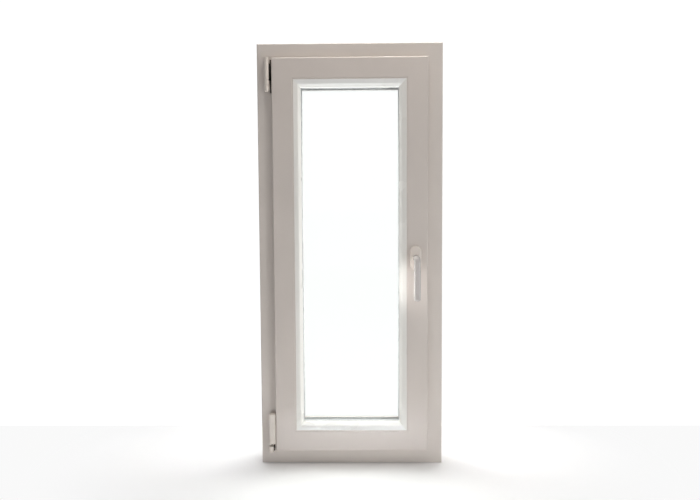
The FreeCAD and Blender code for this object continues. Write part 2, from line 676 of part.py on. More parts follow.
rack_room = side_box(
    "right",
    HANDLE_HEIGHT - GEARBOX_BELOW + 6.0,
    HANDLE_HEIGHT + GEARBOX_ABOVE - 6.0,
    ROD_IN,
    RACK_PITCH + RACK_TIP + 0.6,
    GROOVE_Y - 6.0,
    GROOVE_Y + 6.0,
)
gearbox_case = case.cut(cavity).cut(hub_bore).cut(rack_room)
hub = rod(
    HUB_RADIUS,
    (SPINDLE_X, GROOVE_Y - GEARBOX_DEPTH / 2, HANDLE_HEIGHT),
    (SPINDLE_X, GROOVE_Y + GEARBOX_DEPTH / 2, HANDLE_HEIGHT),
)
spindle_square = box(
    SPINDLE_X - SPINDLE / 2,
    SPINDLE_X + SPINDLE / 2,
    SASH_ROOM - LEVER_PROJECTION + 8.0,
    GROOVE_Y + GEARBOX_DEPTH / 2 + 1.0,
    HANDLE_HEIGHT - SPINDLE / 2,
    HANDLE_HEIGHT + SPINDLE / 2,
)
pinion = joined(gear_solid(GROOVE_Y - GEAR_FACE / 2, GROOVE_Y + GEAR_FACE / 2), hub).cut(spindle_square)
sash["right"] = sash["right"].cut(
    rod(HUB_RADIUS + 1.2, (SPINDLE_X, SASH_ROOM - 1, HANDLE_HEIGHT), (SPINDLE_X, GROOVE_Y, HANDLE_HEIGHT))
)
sash["right"] = sash["right"].cut(
    rod(HUB_RADIUS + 0.6, (SPINDLE_X, GROOVE_Y, HANDLE_HEIGHT), (SPINDLE_X, GROOVE_Y + 14.0, HANDLE_HEIGHT))
)

side_end = HEIGHT - SASH_BODY - ROD_MARGIN
rod_low = plate_low + TRAVEL + 4.0
rod_high = side_end - 4.0
rod_y = (GROOVE_Y - ROD_WIDTH / 2, GROOVE_Y + ROD_WIDTH / 2)
drive_rod_side = joined(
    side_box("right", rod_low, rod_high, ROD_OUT, ROD_IN, *rod_y),
    *rack_teeth(GROOVE_Y - GEAR_FACE / 2, GROOVE_Y + GEAR_FACE / 2),
)
faceplate_side = side_box(
    "right", plate_low, side_end, PLATE_OUT, PLATE_IN, GROOVE_Y - PLATE_WIDTH / 2, GROOVE_Y + PLATE_WIDTH / 2
)
side_cams = [cam("right", z) for z in SIDE_CAMS]
for z, item in zip(SIDE_CAMS, side_cams):
    faceplate_side = faceplate_side.cut(rod_slot("right", z, -1.0))
    drive_rod_side = drive_rod_side.cut(item)

top_right = HALF - SASH_BODY - ROD_MARGIN
flat_y = (GROOVE_Y - PLATE_WIDTH / 2, GROOVE_Y + PLATE_WIDTH / 2)
faceplate_top = side_box("top", -HALF + SASH_BODY + 8.0, top_right, PLATE_OUT, PLATE_IN, *flat_y)
faceplate_top = faceplate_top.cut(rod_slot("top", TOP_CAM, 1.0))
faceplate_bottom = side_box("bottom", -HALF + SASH_BODY + 8.0, top_right, PLATE_OUT, PLATE_IN, *flat_y)
faceplate_bottom = faceplate_bottom.cut(rod_slot("bottom", BOTTOM_CAM, -1.0))
drive_rod_top = side_box("top", HALF - SASH_BODY - 200.0, top_right - TRAVEL - 4.0, ROD_OUT, ROD_IN, *rod_y)
drive_rod_bottom = side_box("bottom", HALF - SASH_BODY - 200.0, top_right - 4.0, ROD_OUT, ROD_IN, *rod_y)
top_cam = cam("top", TOP_CAM)
bottom_cam = cam("bottom", BOTTOM_CAM)
drive_rod_top = drive_rod_top.cut(top_cam)
drive_rod_bottom = drive_rod_bottom.cut(bottom_cam)

# corner drives: an angled plate in each lock-side corner, with a flexible band curved behind it
DRIVE_LEG = ROD_MARGIN - 1.0


def corner_drive(side, corner_height, up):
    """An angled faceplate round a sash corner and the curved band that links the two rods."""
    corner = HALF - SASH_BODY
    y0, y1 = flat_y
    first, second = sorted((corner_height, corner_height - up * DRIVE_LEG))
    upright = side_box("right", first, second, PLATE_OUT, PLATE_IN, y0, y1)
    flat = side_box(side, corner - DRIVE_LEG, corner, PLATE_OUT, PLATE_IN, y0, y1)
    square = box(
        corner - (PLATE_IN - SASH_BODY),
        corner + PLATE_PROUD,
        y0,
        y1,
        min(corner_height - up * 1.0, corner_height + up * PLATE_PROUD),
        max(corner_height - up * 1.0, corner_height + up * PLATE_PROUD),
    )
    plate = joined(upright, flat, square)
    radius = 14.0
    inward = radius + ROD_OUT - SASH_BODY
    middle = V(corner - inward, GROOVE_Y - 4.0, corner_height - up * inward)
    outer = Part.makeCylinder(radius, 8.0, middle, V(0, 1, 0))
    inner = Part.makeCylinder(radius - 0.8, 8.0, middle, V(0, 1, 0))
    low = middle.z if up > 0 else middle.z - radius
    quarter = box(middle.x, middle.x + radius, GROOVE_Y - 4, GROOVE_Y + 4, low, low + radius)
    band = outer.cut(inner).common(quarter)
    return plate, band


drive_top, band_top = corner_drive("top", BODY_TOP, 1.0)
drive_bottom, band_bottom = corner_drive("bottom", SASH_BODY, -1.0)
for side in ("right", "top"):
    sash[side] = sash[side].cut(drive_top)
for side in ("right", "bottom"):
    sash[side] = sash[side].cut(drive_bottom)

PLATE_SCREW_EDGE = 2.5
PLATE_SCREW_FROM_BOX = 100.0
PLATE_SCREW_FROM_CORNER = 105.0
plate_screws = []
near_box = PLATE_SCREW_FROM_BOX
from_corner = PLATE_SCREW_FROM_CORNER
screw_places = [
    ("right", SASH_BODY + from_corner),
    ("right", HANDLE_HEIGHT - GEARBOX_BELOW - near_box),
    ("right", HANDLE_HEIGHT + GEARBOX_ABOVE + near_box),
    ("right", BODY_TOP - from_corner),
]
screw_places += [("top", -HALF + SASH_BODY + 30.0), ("top", top_right - 6.0)]
screw_places += [("bottom", -HALF + SASH_BODY + 40.0), ("bottom", HALF - SASH_BODY - 210.0)]
plates = {"right": faceplate_side, "top": faceplate_top, "bottom": faceplate_bottom}
for side, along in screw_places:
    y = GROOVE_Y + PLATE_WIDTH / 2 - PLATE_SCREW_EDGE
    head = point_at(side, along, PLATE_OUT, y)
    item = screw(head, point_at(side, along, SASH_BODY + 14.0, y), 2.3, 1.3)
    plates[side] = plates[side].cut(item)
    sash[side] = sash[side].cut(item)
    plate_screws.append(item)
for item in strap_screws:
    sash["left"] = sash["left"].cut(item)

guide_y = (GROOVE_Y - PLATE_WIDTH / 2, GROOVE_Y + PLATE_WIDTH / 2)
stay_guide = box(arm_end - 26, arm_end + 12, *guide_y, HEIGHT - PLATE_OUT, HEIGHT - PLATE_OUT + 1.3)
stay_guide = stay_guide.cut(
    box(arm_end - 22, arm_end + 8, GROOVE_Y - 5, GROOVE_Y + 5, HEIGHT - PLATE_OUT, HEIGHT - PLATE_OUT + 3)
)

# ---- glass, beads and seals ----
BEAD = [
    (GLASS_SEAT, SASH_ROOM + 0.5, 0.6),
    (GLASS_SEAT + BEAD_WIDTH * 0.66, SASH_ROOM + 3.6, 6.0),
    (SASH_END, SASH_ROOM + 14.0, 2.0),
    (SASH_END, BEAD_FOOT, 0.8),
    (GLASS_SEAT, BEAD_FOOT, 0.0),
]
BEAD_HOLLOW = rectangle(GLASS_SEAT + 2.0, GLASS_SEAT + BEAD_WIDTH * 0.62, SASH_ROOM + 6.0, BEAD_FOOT - 2.0)
beads = {side: hollow(side, BEAD, [BEAD_HOLLOW]) for side in SIDES}


def pane(y0):
    """One sheet of glass whose edges stand in the sash's glazing rebate."""
    return box(-HALF + GLASS_EDGE, HALF - GLASS_EDGE, y0, y0 + PANE, GLASS_EDGE, HEIGHT - GLASS_EDGE)


pane_inner = pane(GLASS_ROOM)
pane_outer = pane(GLASS_ROOM + PANE + PANE_GAP)
gap0 = GLASS_ROOM + PANE
gap1 = gap0 + PANE_GAP
spacers = ring_of_strips(GLASS_EDGE + 4.0, SASH_END - 2.0, gap0, gap1)
sealant = ring_of_strips(GLASS_EDGE, GLASS_EDGE + 4.0, gap0, gap1)
gasket_low = SASH_END - 9.0
glass_seal_room = ring_of_strips(gasket_low, SASH_END + 1.2, BEAD_FOOT, GLASS_ROOM)
glass_seal_out = ring_of_strips(gasket_low, SASH_END + 1.2, PANE_OUT_Y, OUT_LIP_IN)
blocks = []
for side, along in (
    ("bottom", -HALF + SASH_END + 20),
    ("bottom", HALF - SASH_END - 20),
    ("top", HALF - SASH_END - 20),
    ("left", SASH_END + 60),
    ("right", HEIGHT - SASH_END - 60),
):
    blocks.append(
        side_box(side, along - 22, along + 22, GLASS_SEAT, GLASS_EDGE, GLASS_ROOM - 1.0, PANE_OUT_Y + 1.0)
    )

seal_back = ROOM - SOFT_GAP
sash_seal_side = rectangle(SASH_EDGE + SEAL_INSET, SASH_EDGE + SEAL_INSET + 4.5, LIP_BACK, seal_back)
sash_gasket = []
for side in SIDES:
    strip = mitre(side, profile(side, sash_seal_side))
    if side == "left":
        strip = strip.common(box(-HALF, 0, -FRAME_DEPTH, FRAME_DEPTH, STRAP_HIGH + 6.0, STAY_LOW - 8.0))
    sash_gasket.append(strip)
frame_gasket = ring_of_strips(
    FRAME_EDGE - 7.0, FRAME_EDGE - 1.0, min(SASH_OUT, SEAL_FACE) + SOFT_GAP, LIP_FACE
)

drain_caps = []
for x in (-WIDTH * 0.26, WIDTH * 0.26):
    cap = box(x - 16, x + 16, OUTDOORS, OUTDOORS + 3.0, 14.0, 24.0)
    drain_caps.append(cap.makeFillet(1.6, [e for e in cap.Edges if e.BoundBox.YMin > OUTDOORS + 1]))

# ---- handle ----
rosette_room = SASH_ROOM - ROSETTE_THICK
handle_base = oval(ROSETTE_WIDTH - 5.0, ROSETTE_HEIGHT - 5.0, SASH_ROOM - 6.0, SASH_ROOM)
NECK_RADIUS = 8.2
neck_hole = rod(
    NECK_RADIUS + RUNNING, (SPINDLE_X, rosette_room - 2, HANDLE_HEIGHT), (SPINDLE_X, SASH_ROOM, HANDLE_HEIGHT)
)
rosette = oval(ROSETTE_WIDTH, ROSETTE_HEIGHT, rosette_room, SASH_ROOM)
rim = [e for e in rosette.Edges if e.BoundBox.YMax < rosette_room + 1e-3]
rosette = rosette.makeFillet(2.6, rim)
rosette = rosette.cut(
    oval(ROSETTE_WIDTH - 5.0, ROSETTE_HEIGHT - 5.0, rosette_room + 2.4, SASH_ROOM)
).cut(neck_hole)
RETAINER_RADIUS = NECK_RADIUS + 3.0
retainer = rod(
    RETAINER_RADIUS,
    (SPINDLE_X, rosette_room + 2.6, HANDLE_HEIGHT),
    (SPINDLE_X, SASH_ROOM - 6.4, HANDLE_HEIGHT),
)
handle_base = handle_base.cut(
    rod(SPINDLE, (SPINDLE_X, SASH_ROOM - 8, HANDLE_HEIGHT), (SPINDLE_X, SASH_ROOM + 1, HANDLE_HEIGHT))
)
handle_screws = []
for shift in (-21.5, 21.5):
    head = (SPINDLE_X, SASH_ROOM - 6.0, HANDLE_HEIGHT + shift)
    item = screw(head, (SPINDLE_X, SASH_ROOM + 14.5, HANDLE_HEIGHT + shift), 4.2, 2.4)
    handle_base = handle_base.cut(item)
    sash["right"] = sash["right"].cut(item)
    handle_screws.append(item)

grip_room = SASH_ROOM - LEVER_PROJECTION
grip_back = grip_room + LEVER_THICK
lever_radius = LEVER_WIDTH / 2
grip_height = lever_radius + LEVER_DROP
grip = oval(
    LEVER_WIDTH,
    grip_height,
    grip_room,
    grip_back,
    SPINDLE_X,
    HANDLE_HEIGHT + lever_radius - grip_height / 2,
)
grip = grip.makeFillet(4.0, [e for e in grip.Edges if abs(e.BoundBox.YMax - e.BoundBox.YMin) < 1e-3])
neck = rod(
    NECK_RADIUS, (SPINDLE_X, rosette_room + 2.6, HANDLE_HEIGHT), (SPINDLE_X, grip_back - 2.0, HANDLE_HEIGHT)
)
lever = joined(grip, neck, retainer).cut(spindle_square)

# ---- nodes ----
NAMES = {"bottom": "sill", "top": "head", "left": "jamb_hinge_side", "right": "jamb_lock_side"}
SASH_NAMES = {"bottom": "bottom_rail", "top": "top_rail", "left": "stile_hinge_side", "right": "stile_lock_side"}
BEAD_NAMES = {"bottom": "bottom", "top": "top", "left": "hinge_side", "right": "lock_side"}
for side in SIDES:
    save("frame_" + NAMES[side], frame[side])
    save("sash_" + SASH_NAMES[side], sash[side])
    save("glazing_bead_" + BEAD_NAMES[side], beads[side])
save("frame_reinforcements", *frame_steels.values())
save("sash_reinforcements", *sash_steels.values())
save("frame_gasket", *frame_gasket)
save("sash_gasket", *sash_gasket)
save("drain_caps", *drain_caps)
save("locking_strikers", *strikers["side"], *strikers["top"])
save("tilt_striker_bottom", *strikers["bottom"])
save("striker_screws", *striker_screws)
save("stay_bearing", stay_bearing)
save("hinge_bearing_screws", *bearing_screws, *corner_screws)
save("top_hinge_pin", hinge_pin)
save("top_hinge_pin_cap", pin_cap)
save("corner_bearing", corner_bearing)
save("corner_pivot", corner_pivot)
save("corner_pivot_cap", pivot_cap)
save("stay_arm", stay_arm)
save("stay_arm_cover", arm_cover)
save("stay_arm_rivet", stay_rivet)
save("corner_strap", corner_strap)
save("corner_strap_cover", strap_cover)
save("stay_guide", stay_guide)
save("faceplate_side", plates["right"])
save("faceplate_top", plates["top"])
save("faceplate_bottom", plates["bottom"])
save("sash_hardware_screws", *plate_screws, *strap_screws)
save("corner_drive_top", drive_top)
save("corner_drive_bottom", drive_bottom)
save("corner_drive_bands", band_top, band_bottom)
save("gearbox_case", gearbox_case)
save("gearbox_pinion", pinion)
save("drive_rod_side", drive_rod_side)
save("drive_rod_top", drive_rod_top)
save("drive_rod_bottom", drive_rod_bottom)
save("locking_cams_side", *side_cams)
save("locking_cam_top", top_cam)
save("tilt_cam_bottom", bottom_cam)
save("glass_pane_inner", pane_inner)
save("glass_pane_outer", pane_outer)
save("glass_spacer_bars", *spacers)
save("glass_edge_sealant", *sealant)
save("glazing_gasket_room", *glass_seal_room)
save("glazing_gasket_outdoor", *glass_seal_out)
save("setting_blocks", *blocks)
save("handle_base", handle_base)
save("handle_rosette", rosette)
save("handle_screws", *handle_screws)
save("handle_lever", lever)
save("handle_spindle", spindle_square)
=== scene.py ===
import json
import math

import bmesh
import bpy
import numpy as np
from mathutils import Matrix, Vector


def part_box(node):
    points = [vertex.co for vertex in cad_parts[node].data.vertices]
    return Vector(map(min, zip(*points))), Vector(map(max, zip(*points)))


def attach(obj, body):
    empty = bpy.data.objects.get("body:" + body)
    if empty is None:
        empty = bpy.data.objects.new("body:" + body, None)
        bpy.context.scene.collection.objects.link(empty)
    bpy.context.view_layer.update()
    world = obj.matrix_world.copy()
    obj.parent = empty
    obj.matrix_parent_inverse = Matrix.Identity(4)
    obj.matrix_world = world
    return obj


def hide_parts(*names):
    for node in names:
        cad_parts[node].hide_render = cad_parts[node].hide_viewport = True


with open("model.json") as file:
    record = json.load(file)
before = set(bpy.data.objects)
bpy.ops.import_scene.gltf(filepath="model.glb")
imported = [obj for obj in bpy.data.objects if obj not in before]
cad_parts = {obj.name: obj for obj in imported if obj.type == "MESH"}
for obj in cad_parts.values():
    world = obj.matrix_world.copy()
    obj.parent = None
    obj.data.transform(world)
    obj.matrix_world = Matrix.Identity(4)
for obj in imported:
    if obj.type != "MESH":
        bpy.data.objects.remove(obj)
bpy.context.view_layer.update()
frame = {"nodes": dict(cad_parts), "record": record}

MM = 0.001
FULL_TURN = 2 * math.pi
QUARTER_TURN = math.pi / 2
NODES = frame["nodes"]
SLOT_OF = {entry["node"]: entry["material_slot"] for entry in frame["record"]["subparts"]}


# ---- places taken from the frame, in metres ----

def centre(node):
    """Middle of a CAD node's box."""
    low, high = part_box(node)
    return (low + high) / 2


FRAME_FACE_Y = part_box("frame_sill")[0].y
SPINDLE = centre("handle_spindle")
ROSETTE_LOW, ROSETTE_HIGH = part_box("handle_rosette")
LEVER_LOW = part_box("handle_lever")[0]
PIN = centre("top_hinge_pin")


# ---- sizes of the new pieces ----

LEVER_COLUMNS = 72
NECK_RADIUS = 8.2 * MM
NECK_FROM_ROSETTE = 2.6 * MM
GRIP_HALF_WIDTH = 9.2 * MM
GRIP_HALF_THICK = 6.0 * MM
GRIP_START_SHARE = 0.94
GRIP_WAIST_SHARE = 0.10
GRIP_POWER = 2.9
TIP_POWER = 3.4
ELBOW_BEND = 10.5 * MM
TIP_ROUND = 7.0 * MM
TIP_SHRINK_POWER = 0.75
TIP_LEAST_COSINE = 0.02
TIP_POWER_DROP = 0.8

ROSETTE_COLUMNS = 120
ROSETTE_HOLE = 8.5 * MM
ROSETTE_RIM = 3.2 * MM
ROSETTE_DRAFT = 0.7 * MM
ROSETTE_OFF_BASE = 0.2 * MM
ROSETTE_DOME = 1.0 * MM
ROSETTE_DOME_INSET = 0.6 * MM
ROSETTE_LIP = 2.2 * MM
ROSETTE_LIFT_STEEPNESS = 14.0

KNUCKLE_RADIUS = 5.9 * MM
KNUCKLE_RIM = 0.8 * MM
PIN_CAP_DOME = 4.2 * MM
PIN_CAP_FIRST_TURN = 0.02
PIN_CAP_CHAMFER = np.array([[0.0, -1.0], [-0.25, -0.5], [-0.7, 0.0]]) * MM
PIVOT_RIM = 1.4 * MM

STRAP_COLUMNS = 80
STRAP_END = 2.6 * MM
STRAP_NARROWS_BY = 0.07
STRAP_NARROWS_BELOW = 0.34
STRAP_POWER = 4.2


# ---- surfaces ----

def surface(name, points, body, material, closed_ends=True):
    """A skin over a grid of points: rows run along the piece, columns round it.

    Each cell between two rows and two columns becomes one four-sided face, the last column joins the
    first, and a flat face of many corners closes each end.
    """
    rows, columns = points.shape[:2]
    index = np.arange(rows * columns).reshape(rows, columns)
    onward = np.roll(index, -1, axis=1)
    cells = np.stack([index[:-1], onward[:-1], onward[1:], index[1:]], axis=-1)
    faces = cells.reshape(-1, 4).tolist()
    if closed_ends:
        faces += [index[0, ::-1].tolist(), index[-1].tolist()]
    mesh = bpy.data.meshes.new(name)
    mesh.from_pydata(points.reshape(-1, 3).tolist(), [], faces)
    mesh.polygons.foreach_set("use_smooth", np.ones(len(mesh.polygons), dtype=bool))
    mesh.update()
    mesh.materials.append(material)
    piece = bpy.data.objects.new(name, mesh)
    bpy.context.scene.collection.objects.link(piece)
    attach(piece, body)
    return piece


def facing_out(piece):
    """Merges a closed piece's doubled points and turns its faces outwards."""
    work = bmesh.new()
    work.from_mesh(piece.data)
    bmesh.ops.remove_doubles(work, verts=work.verts, dist=1e-7)
    bmesh.ops.recalc_face_normals(work, faces=work.faces)
    work.to_mesh(piece.data)
    work.free()
    return piece


def column(values):
    """One value a row, ready to meet the columns of an outline; a single number serves every row."""
    return np.asarray(values, dtype=float).reshape(-1, 1)


def round_outline(columns):
    """Cosine and sine of even steps once round, as one row each."""
    turn = np.linspace(0.0, FULL_TURN, columns, endpoint=False)[None, :]
    return np.cos(turn), np.sin(turn)


def superellipses(columns, half_across, half_deep, power):
    """One outline a row, of the points where |u/a|^n + |v/b|^n = 1, anticlockwise.

    u is a times the cosine's sign and its size to the power 2/n, and v is b times the same of the sine.
    """
    cosine, sine = round_outline(columns)
    bend = 2.0 / column(power)
    across = column(half_across) * np.sign(cosine) * np.abs(cosine) ** bend
    deep = column(half_deep) * np.sign(sine) * np.abs(sine) ** bend
    return across, deep


def turned(name, profile, at, body, material, columns=64):
    """A round piece about an upright axis: each (radius, height) of the profile goes once round."""
    cosine, sine = round_outline(columns)
    radius, height = column(profile[:, 0]), column(profile[:, 1])
    points = np.stack([at[0] + radius * cosine, at[1] + radius * sine, height + 0 * cosine], axis=-1)
    return facing_out(surface(name, points, body, material))


def rounded_ends(low, high, radius, round_by, steps=7):
    """(radius, height) pairs for a cylinder whose two rims are quarter circles."""
    turn = np.linspace(0.0, QUARTER_TURN, steps)
    outwards = radius - round_by + round_by * np.sin(turn)
    upwards = low + round_by - round_by * np.cos(turn)
    lower = np.stack([outwards, upwards], axis=-1)
    upper = lower[::-1] * [1, -1] + [0, low + high]
    return np.concatenate([lower, upper])


# ---- materials ----

def new_material(name):
    """An empty node material with its tree and shader."""
    material = bpy.data.materials.new(name)
    material.use_nodes = True
    tree = material.node_tree
    return material, tree, tree.nodes["Principled BSDF"]


def settings(node, **values):
    """Sets a node's inputs by name; an underscore stands for a space."""
    for key, value in values.items():
        node.inputs[key.replace("_", " ")].default_value = value
    return node


def coordinates(tree, scale=(1, 1, 1)):
    """Object coordinates in metres, stretched by the given scale."""
    place = tree.nodes.new("ShaderNodeTexCoord")
    mapping = settings(tree.nodes.new("ShaderNodeMapping"), Scale=scale)
    tree.links.new(place.outputs["Object"], mapping.inputs["Vector"])
    return mapping.outputs["Vector"]


def noise(tree, scale, vector_scale=(1, 1, 1), detail=3.0):
    """A noise pattern over the object, as its factor socket."""
    node = settings(tree.nodes.new("ShaderNodeTexNoise"), Scale=scale, Detail=detail)
    tree.links.new(coordinates(tree, vector_scale), node.inputs["Vector"])
    return node.outputs["Fac"]


def map_range(tree, factor, start, end, low, high):
    """Maps a factor from start..end to low..high, and gives the node."""
    node = settings(tree.nodes.new("ShaderNodeMapRange"),
                    From_Min=start, From_Max=end, To_Min=low, To_Max=high)
    tree.links.new(factor, node.inputs["Value"])
    return node


def ramp(tree, factor, low, high):
    """Maps a pattern's middle range to low..high."""
    return map_range(tree, factor, 0.3, 0.7, low, high).outputs["Result"]


def two_tone(tree, factor, first, second):
    """A colour between two, by a factor."""
    node = tree.nodes.new("ShaderNodeMix")
    node.data_type = "RGBA"
    settings(node, A=(*first, 1), B=(*second, 1))
    tree.links.new(factor, node.inputs["Factor"])
    return node.outputs["Result"]


def mottled_colour(tree, shader, pattern, colour, darker, lighter):
    """Gives a shader a colour that wavers between a darker and a lighter share of itself."""
    shade = np.array(colour)
    tone = two_tone(tree, ramp(tree, pattern, 0.0, 1.0),
                    tuple(shade * darker), tuple(np.minimum(shade * lighter, 1)))
    tree.links.new(tone, shader.inputs["Base Color"])


def uneven_gloss(tree, shader, pattern, low, high):
    """Lets the roughness waver from low to high."""
    tree.links.new(ramp(tree, pattern, low, high), shader.inputs["Roughness"])


def bump(tree, shader, height, strength, distance):
    """Adds relief to a shader from a height socket."""
    node = settings(tree.nodes.new("ShaderNodeBump"), Strength=strength, Distance=distance)
    tree.links.new(height, node.inputs["Height"])
    tree.links.new(node.outputs["Normal"], shader.inputs["Normal"])


def linear(red, green, blue):
    """A colour written as 0..255 display values, made linear for a shader."""
    value = np.array([red, green, blue]) / 255.0
    return tuple(np.where(value <= 0.04045, value / 12.92, ((value + 0.055) / 1.055) ** 2.4))


def extruded_plastic(name, colour, along, roughness=0.34):
    """Rigid window plastic: faint die lines along the length, a little orange peel, cloudy gloss."""
    material, tree, shader = new_material(name)
    streak_scale = {"x": (1.2, 160, 160), "z": (160, 160, 1.2)}[along]
    cloud = noise(tree, 5.0, detail=4.0)
    mottled_colour(tree, shader, cloud, colour, 0.965, 1.02)
    uneven_gloss(tree, shader, cloud, roughness - 0.05, roughness + 0.07)
    blend = settings(tree.nodes.new("ShaderNodeMix"), Factor=0.55)
    tree.links.new(noise(tree, 900.0, detail=2.0), blend.inputs["A"])
    tree.links.new(noise(tree, 1.0, streak_scale, detail=2.0), blend.inputs["B"])
    bump(tree, shader, blend.outputs["Result"], 0.22, 0.0004)
    settings(shader, IOR=1.54)
    return material


def moulded_plastic(name, colour, roughness=0.3):
    """Injection-moulded cover plastic with a fine spark-eroded grain."""
    material, tree, shader = new_material(name)
    cloud = noise(tree, 30.0)
    mottled_colour(tree, shader, cloud, colour, 0.97, 1.02)
    uneven_gloss(tree, shader, cloud, roughness - 0.04, roughness + 0.06)
    bump(tree, shader, noise(tree, 2600.0, detail=1.0), 0.18, 0.0002)
    return material


def powder_coat(name, colour, roughness=0.3):
    """Powder-coated metal: a smooth enamel with a slow ripple."""
    material, tree, shader = new_material(name)
    cloud = noise(tree, 18.0)
    mottled_colour(tree, shader, cloud, colour, 0.975, 1.015)
    uneven_gloss(tree, shader, cloud, roughness - 0.05, roughness + 0.05)
    bump(tree, shader, noise(tree, 420.0, detail=2.0), 0.12, 0.0004)
    settings(shader, Coat_Weight=0.35, Coat_Roughness=0.12)
    return material


def seal_rubber(name, colour, through=0.0):
    """Extruded soft seal: dull, with faint lines and dust; a pale one lets light through its lip."""
    material, tree, shader = new_material(name)
    shade = np.array(colour)
    dust = noise(tree, 60.0, detail=5.0)
    tone = two_tone(tree, ramp(tree, dust, 0.0, 1.0), tuple(shade * 0.85), tuple(shade * 1.15))
    tree.links.new(tone, shader.inputs["Base Color"])
    uneven_gloss(tree, shader, dust, 0.55, 0.8)
    bump(tree, shader, noise(tree, 1500.0), 0.3, 0.0003)
    settings(shader, Subsurface_Weight=through, Subsurface_Radius=(1.0, 1.0, 1.0), Subsurface_Scale=0.006)
    return material


def plated_steel(name, colour, roughness=0.32, spangle=180.0):
    """Zinc-plated steel: mottled grey metal with rolling marks."""
    material, tree, shader = new_material(name)
    cells = settings(tree.nodes.new("ShaderNodeTexVoronoi"), Scale=spangle)
    tree.links.new(coordinates(tree), cells.inputs["Vector"])
    mottled = noise(tree, 45.0, detail=4.0)
    mottled_colour(tree, shader, mottled, colour, 0.82, 1.1)
    uneven_gloss(tree, shader, cells.outputs["Distance"], roughness - 0.08, roughness + 0.1)
    settings(shader, Metallic=1.0)
    bump(tree, shader, mottled, 0.1, 0.0003)
    return material


def either_shader(tree, factor, first, second):
    """Sends one of two shaders, or a mix of them, to the material's surface."""
    either = tree.nodes.new("ShaderNodeMixShader")
    tree.links.new(factor, either.inputs["Fac"])
    tree.links.new(first, either.inputs[1])
    tree.links.new(second, either.inputs[2])
    tree.links.new(either.outputs["Shader"], tree.nodes["Material Output"].inputs["Surface"])


def clear_glass(name):
    """Float glass: smooth and clear, with a trace of green and the faintest waviness.

    Rays on their way to a lamp pass straight through it, so what lies behind a pane is lit.
    """
    material, tree, shader = new_material(name)
    tint = two_tone(tree, noise(tree, 2.0), (0.985, 0.995, 0.99), (0.99, 1.0, 0.995))
    tree.links.new(tint, shader.inputs["Base Color"])
    settings(shader, Transmission_Weight=1.0, Roughness=0.0, IOR=1.5)
    bump(tree, shader, noise(tree, 3.0, detail=1.0), 0.02, 0.0005)
    path = tree.nodes.new("ShaderNodeLightPath")
    open_way = settings(tree.nodes.new("ShaderNodeBsdfTransparent"), Color=(0.97, 0.98, 0.975, 1))
    either_shader(tree, path.outputs["Is Shadow Ray"], shader.outputs["BSDF"], open_way.outputs["BSDF"])
    return material


SASH_WHITE = linear(222, 212, 205)
FRAME_WHITE = linear(224, 215, 208)
COVER_WHITE = linear(233, 223, 214)
BEAD_GLOSS = 0.28
MATERIALS = {
    "frame_x": extruded_plastic("frame_plastic_across", FRAME_WHITE, "x"),
    "frame_z": extruded_plastic("frame_plastic_upright", FRAME_WHITE, "z"),
    "sash_x": extruded_plastic("sash_plastic_across", SASH_WHITE, "x"),
    "sash_z": extruded_plastic("sash_plastic_upright", SASH_WHITE, "z"),
    # The glazing beads are the same plastic as the sash, painted near white as lit copies: painted light
    # standing in for the light through the glass onto their slopes. The across beads are painted brightest,
    # the bottom bead a little darker and the upright beads darker still.
    "bead_x": extruded_plastic("bead_plastic_across_painted_lit", linear(254, 252, 249), "x", BEAD_GLOSS),
    "bead_z": extruded_plastic("bead_plastic_upright_painted_lit", linear(246, 243, 238), "z", BEAD_GLOSS),
    "bead_painted_lit_low": extruded_plastic("bead_plastic_low_painted_lit", linear(247, 245, 242), "x", BEAD_GLOSS),
    # The outdoor gasket is painted near white: painted light that lifts the shade in the gap between the
    # outer pane and the sash leg. Its subsurface also lets real light through it.
    "outdoor_gasket_painted_light": seal_rubber("outdoor_gasket_painted_light", linear(244, 244, 243), 1.0),
    # A dull dark brown rubber-like shader, no real finish: painted shade standing in for the shade in the
    # narrow slot between the hinge covers and the sash edge.
    "painted_slot_shade": seal_rubber("painted_slot_shade", linear(46, 38, 34)),
    # Room gasket painted a lighter grey than its own colour: painted light that softens the shade line at
    # the pane's edge.
    "gasket": seal_rubber("room_gasket_painted_light", linear(218, 219, 220)),
    "sealant": seal_rubber("grey_sealant", linear(120, 120, 122)),
    "glass": clear_glass("float_glass"),
    "spacer_aluminium": plated_steel("spacer_metal", linear(205, 207, 209), 0.4, 500.0),
    "zinc_steel": plated_steel("zinc_steel", linear(176, 178, 180)),
    "screw_steel": plated_steel("screw_steel", linear(165, 166, 168), 0.28),
    "cam_steel": plated_steel("cam_steel", linear(140, 141, 144), 0.25),
    "gearbox_zinc": plated_steel("cast_zinc", linear(150, 152, 155), 0.5),
    "hinge_paint": powder_coat("hinge_paint", COVER_WHITE),
    "cover_plastic": moulded_plastic("cover_plastic", COVER_WHITE),
    "block_plastic": moulded_plastic("block_plastic", linear(92, 98, 112), 0.5),
    "handle_paint": powder_coat("handle_paint", linear(203, 197, 194), 0.24),
}
PLASTIC_OF = {"frame_plastic": "frame", "sash_plastic": "sash", "bead_plastic": "bead"}
# Nodes given painted light or shade instead of their own finish: the stay arm and corner strap painted dark
# as slot shade, the outdoor gasket painted pale against the shade in its gap, and the bottom bead painted as
# a lit copy of the bead plastic.
PAINTED_LIGHT_OF_NODE = {
    # Stay arm and corner strap painted dark: painted shade for the narrow slot beside the hinge covers.
    "stay_arm": "painted_slot_shade",
    "corner_strap": "painted_slot_shade",
    "glazing_gasket_outdoor": "outdoor_gasket_painted_light",
    "glazing_bead_bottom": "bead_painted_lit_low",
}


